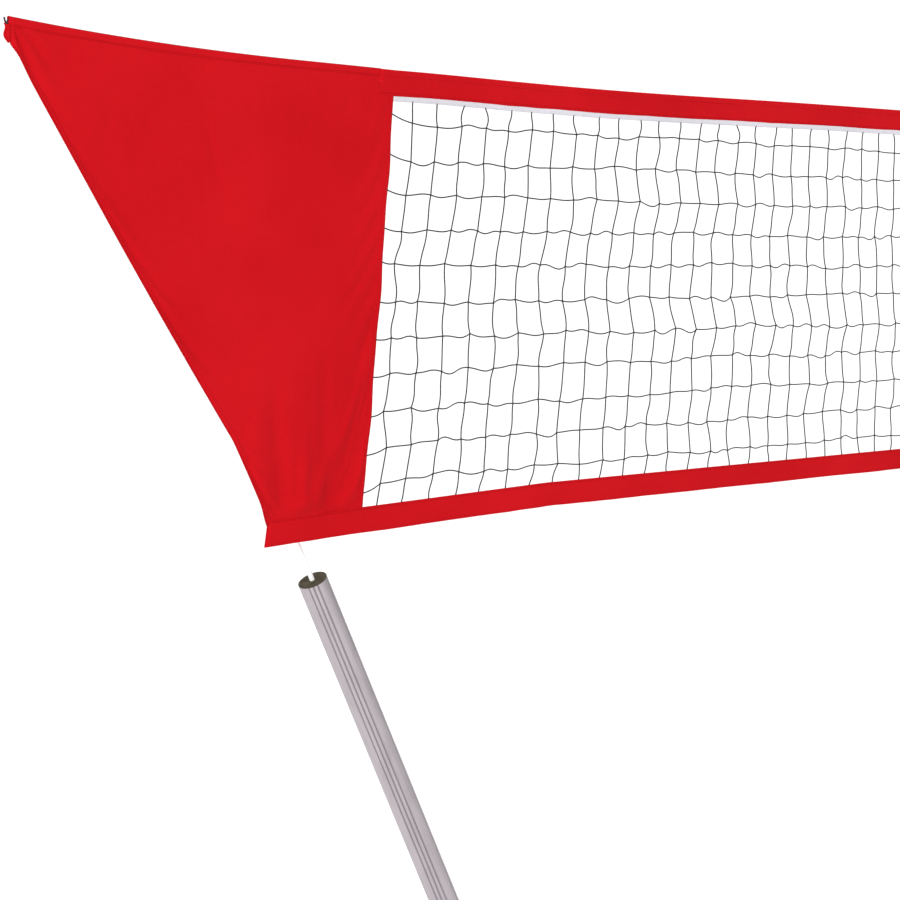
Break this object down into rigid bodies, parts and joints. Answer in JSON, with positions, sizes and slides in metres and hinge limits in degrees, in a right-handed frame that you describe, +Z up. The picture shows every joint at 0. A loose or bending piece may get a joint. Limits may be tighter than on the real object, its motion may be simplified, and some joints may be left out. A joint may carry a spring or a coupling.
{
  "type": "volleyball net on poles",
  "caption": "Red volleyball net with pointed end banners, black netting and two leaning telescopic poles on staked base plates.",
  "frame": {"origin": "on the ground, midway between the two poles, in the poles' centre plane", "axes": "+X along the net to the right seen from the net's side, +Y across the net from the net to the poles' back, +Z up"},
  "size_m": [9.776, 0.4, 2.475],
  "materials": {
    "red_fabric": "woven polyester, matt",
    "white_webbing": "white webbing",
    "dark_cord": "braided dark cord",
    "netting_twine": "knotted polyethylene twine",
    "black_plastic": "moulded, fine grain",
    "dark_plug": "dark olive moulding",
    "fibreglass": "white pultruded rod",
    "tube_aluminium": "extruded, satin",
    "coupler_aluminium": "plain mill finish",
    "spring_steel": "bright spring steel",
    "bolt_steel": "zinc plated",
    "painted_steel": "dark powder coat"
  },
  "bodies": {
    "poles": {"left_base_plate": "painted_steel", "left_socket": "painted_steel", "left_socket_bolt": "bolt_steel", "left_foot_cap": "black_plastic", "left_base_tube": "tube_aluminium", "left_coupler": "coupler_aluminium", "left_snap_spring": "spring_steel", "left_upper_tube": "tube_aluminium", "left_plug": "dark_plug", "right_base_plate": "painted_steel", "right_socket": "painted_steel", "right_socket_bolt": "bolt_steel", "right_foot_cap": "black_plastic", "right_base_tube": "tube_aluminium", "right_coupler": "coupler_aluminium", "right_snap_spring": "spring_steel", "right_upper_tube": "tube_aluminium", "right_plug": "dark_plug"},
    "net": {"top_tape": "red_fabric", "bottom_tape": "red_fabric", "header_strip": "white_webbing", "top_cord": "dark_cord", "upright_cords": "netting_twine", "level_cords": "netting_twine", "left_banner": "red_fabric", "right_banner": "red_fabric", "left_tip_tab": "red_fabric", "right_tip_tab": "red_fabric", "left_pocket": "red_fabric", "right_pocket": "red_fabric"},
    "left_mast_slider": {"left_mast": "fibreglass", "left_mast_bush": "black_plastic", "left_hook": "black_plastic"},
    "left_clamp": {"left_knob": "black_plastic"},
    "left_button": {"left_snap_button": "spring_steel"},
    "right_mast_slider": {"right_mast": "fibreglass", "right_mast_bush": "black_plastic", "right_hook": "black_plastic"},
    "right_clamp": {"right_knob": "black_plastic"},
    "right_button": {"right_snap_button": "spring_steel"}
  },
  "joints": [
    {"name": "net_height", "type": "slide", "parent": "poles", "child": "net", "axis": [0, 0, 1], "range_m": [-0.305, 0]},
    {"name": "left_mast_slide", "type": "slide", "parent": "poles", "child": "left_mast_slider", "axis": [-0.4664, 0, 0.8846], "range_m": [-0.3458, 0.0005]},
    {"name": "right_mast_slide", "type": "slide", "parent": "poles", "child": "right_mast_slider", "axis": [0.4664, 0, 0.8846], "range_m": [-0.3458, 0.0005]},
    {"name": "left_clamp_turn", "type": "hinge", "parent": "poles", "child": "left_clamp", "pos_m": [-4.11402, 0, 1.39092], "axis": [0.5324, 0.7986, 0.2807], "range_deg": [0, 540]},
    {"name": "right_clamp_turn", "type": "hinge", "parent": "poles", "child": "right_clamp", "pos_m": [4.11402, 0, 1.39092], "axis": [-0.5324, 0.7986, 0.2807], "range_deg": [0, 540]},
    {"name": "left_button_press", "type": "slide", "parent": "poles", "child": "left_button", "axis": [0, -1, 0], "range_m": [0, 0.005], "stiffness_N_per_m": 800, "springref_m": -0.005},
    {"name": "right_button_press", "type": "slide", "parent": "poles", "child": "right_button", "axis": [0, -1, 0], "range_m": [0, 0.005], "stiffness_N_per_m": 800, "springref_m": -0.005}
  ],
  "couplings": [
    {"joint": "left_mast_slide", "follows": "net_height", "ratio": 1.1305},
    {"joint": "right_mast_slide", "follows": "net_height", "ratio": 1.1305}
  ]
}
